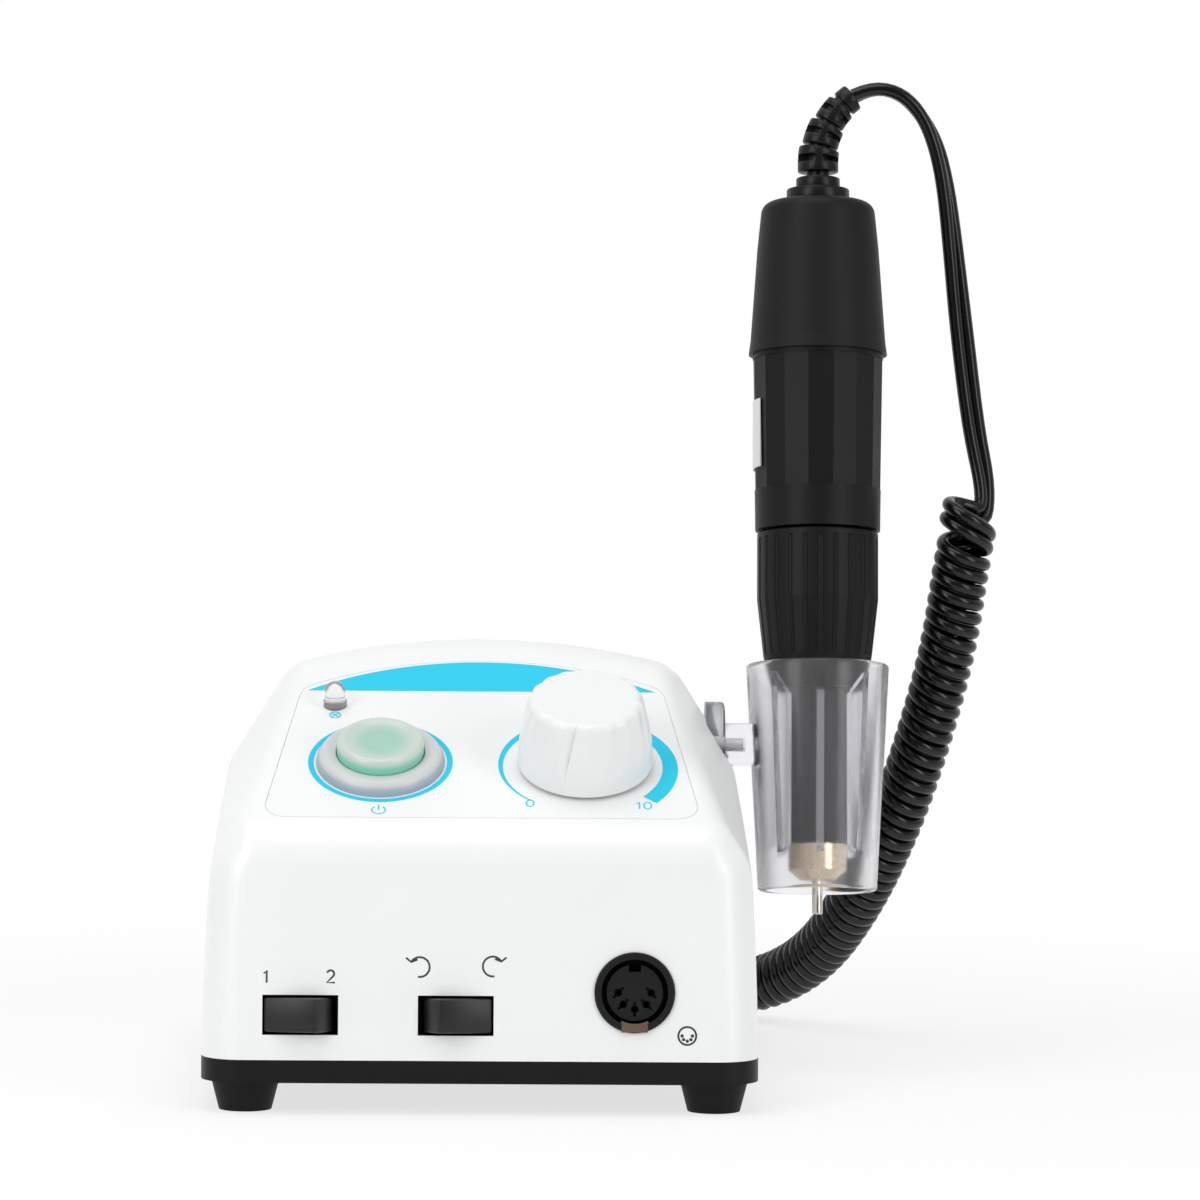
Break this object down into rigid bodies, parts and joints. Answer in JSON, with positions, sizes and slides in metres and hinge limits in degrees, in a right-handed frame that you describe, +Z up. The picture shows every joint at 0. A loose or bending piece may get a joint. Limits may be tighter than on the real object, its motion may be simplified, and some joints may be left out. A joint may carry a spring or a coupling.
{
  "type": "nail drill machine",
  "caption": "Wedge-shaped white nail drill control box with a speed knob, power button, rockers and motor socket; a swivelling clear cradle holds a black handpiece with a curly lead.",
  "frame": {"origin": "on the table under the middle of the machine's bounding box, measured without its free cord", "axes": "+X to the machine's right, where the cradle is, +Y to its back, +Z up"},
  "size_m": [0.177, 0.1867, 0.2213],
  "materials": {
    "white_housing": "moulded glossy white plastic",
    "black_tray": "moulded black plastic with a fine grain",
    "foot_rubber": "soft black rubber",
    "screw_steel": "zinc plated",
    "panel_film": "printed film, light silver with blue fields",
    "red_lamp": "tinted clear plastic",
    "white_button": "glossy white plastic",
    "green_core": "tinted clear plastic",
    "knob_plastic": "satin white plastic",
    "black_switch": "glossy black plastic",
    "black_insulator": "moulded insulating plastic",
    "socket_metal": "nickel plated",
    "board_laminate": "glass fibre laminate",
    "capacitor_sleeve": "shrunk sleeve on an aluminium can",
    "sink_aluminium": "extruded",
    "transistor_epoxy": "moulded epoxy",
    "core_iron": "varnished laminations",
    "magnet_ferrite": "sintered ferrite",
    "copper_bars": "turned copper",
    "fuse_glass": "glass tube with metal caps",
    "clear_cradle": "frosted clear plastic",
    "nose_steel": "turned and polished steel",
    "plate_plastic": "bare plate",
    "cord_pvc": "soft black sheath"
  },
  "bodies": {
    "control_box": {"housing_cover": "white_housing", "base_tray": "black_tray", "rubber_feet": "foot_rubber", "case_screws": "screw_steel", "panel_overlay": "panel_film", "overload_lamp": "red_lamp", "power_button_collar": "white_button", "power_switch_body": "black_insulator", "potentiometer_body": "socket_metal", "potentiometer_nut": "screw_steel", "mode_switch_body": "black_insulator", "direction_switch_body": "black_insulator", "motor_socket_shell": "socket_metal", "motor_socket_insert": "black_insulator", "motor_socket_contacts": "socket_metal", "motor_socket_shield": "socket_metal", "mains_inlet": "black_insulator", "inlet_pins": "socket_metal", "fuse_holder": "black_insulator", "pedal_jack": "black_insulator", "jack_nut": "socket_metal", "control_board": "board_laminate", "chassis_screws": "screw_steel", "filter_capacitors": "capacitor_sleeve", "heat_sink": "sink_aluminium", "power_transistor": "transistor_epoxy", "transformer_core": "core_iron", "transformer_winding": "black_insulator", "transformer_clamp": "screw_steel"},
    "knob": {"speed_knob": "knob_plastic", "potentiometer_shaft": "socket_metal"},
    "button": {"power_button_cap": "white_button", "power_button_core": "green_core"},
    "mode_switch": {"mode_rocker": "black_switch"},
    "direction_switch": {"direction_rocker": "black_switch"},
    "fuse_plug": {"fuse_cap": "black_insulator", "fuse_link": "fuse_glass"},
    "cradle": {"cradle_cup": "clear_cradle", "cradle_screw": "screw_steel"},
    "handpiece": {"handpiece_barrel": "black_insulator", "rear_boot": "black_insulator", "strain_relief": "cord_pvc", "rating_plate": "plate_plastic", "motor_magnets": "magnet_ferrite", "brush_gear": "black_insulator", "bearings": "nose_steel", "nose_sleeve": "nose_steel", "cord_lead": "cord_pvc", "cord_curls": "cord_pvc", "cord_tail": "cord_pvc", "plug_boot": "cord_pvc", "plug_shell": "socket_metal", "plug_pins": "socket_metal"},
    "grip": {"twist_grip": "black_insulator"},
    "rotor": {"armature": "core_iron", "commutator": "copper_bars", "spindle": "nose_steel", "chuck_nose": "nose_steel", "bur_shank": "nose_steel"}
  },
  "joints": [
    {"name": "speed_knob_turn", "type": "hinge", "parent": "control_box", "child": "knob", "pos_m": [0.00647, -0.04713, 0.07272], "axis": [0, 0.4756, -0.8796], "range_deg": [0, 299]},
    {"name": "power_button_press", "type": "slide", "parent": "control_box", "child": "button", "axis": [0, 0.4756, -0.8796], "range_m": [0, 0.0025], "stiffness_N_per_m": 900, "springref_m": -0.001},
    {"name": "mode_toggle", "type": "hinge", "parent": "control_box", "child": "mode_switch", "pos_m": [-0.05403, -0.07164, 0.02095], "axis": [0, 0.0872, 0.9962], "range_deg": [0, 38]},
    {"name": "direction_toggle", "type": "hinge", "parent": "control_box", "child": "direction_switch", "pos_m": [-0.02103, -0.07164, 0.02095], "axis": [0, 0.0872, 0.9962], "range_deg": [-38, 0]},
    {"name": "fuse_cap_turn", "type": "hinge", "parent": "control_box", "child": "fuse_plug", "pos_m": [-0.01383, 0.07289, 0.04168], "axis": [0, 0.9994, 0.0349], "range_deg": [0, 90]},
    {"name": "cradle_swivel", "type": "hinge", "parent": "control_box", "child": "cradle", "pos_m": [0.03407, 0.00393, 0.0727], "axis": [1, 0, 0], "range_deg": [0, 45]},
    {"name": "handpiece_lift", "type": "slide", "parent": "cradle", "child": "handpiece", "axis": [0, 0.1736, 0.9848], "range_m": [0, 0.065]},
    {"name": "twist_grip_turn", "type": "hinge", "parent": "handpiece", "child": "grip", "pos_m": [0.05932, 0.01227, 0.11997], "axis": [0, 0.1736, 0.9848], "range_deg": [0, 45]},
    {"name": "spindle_spin", "type": "hinge", "parent": "handpiece", "child": "rotor", "pos_m": [0.05932, 0.01366, 0.12785], "axis": [0, 0.1736, 0.9848], "continuous": true}
  ]
}
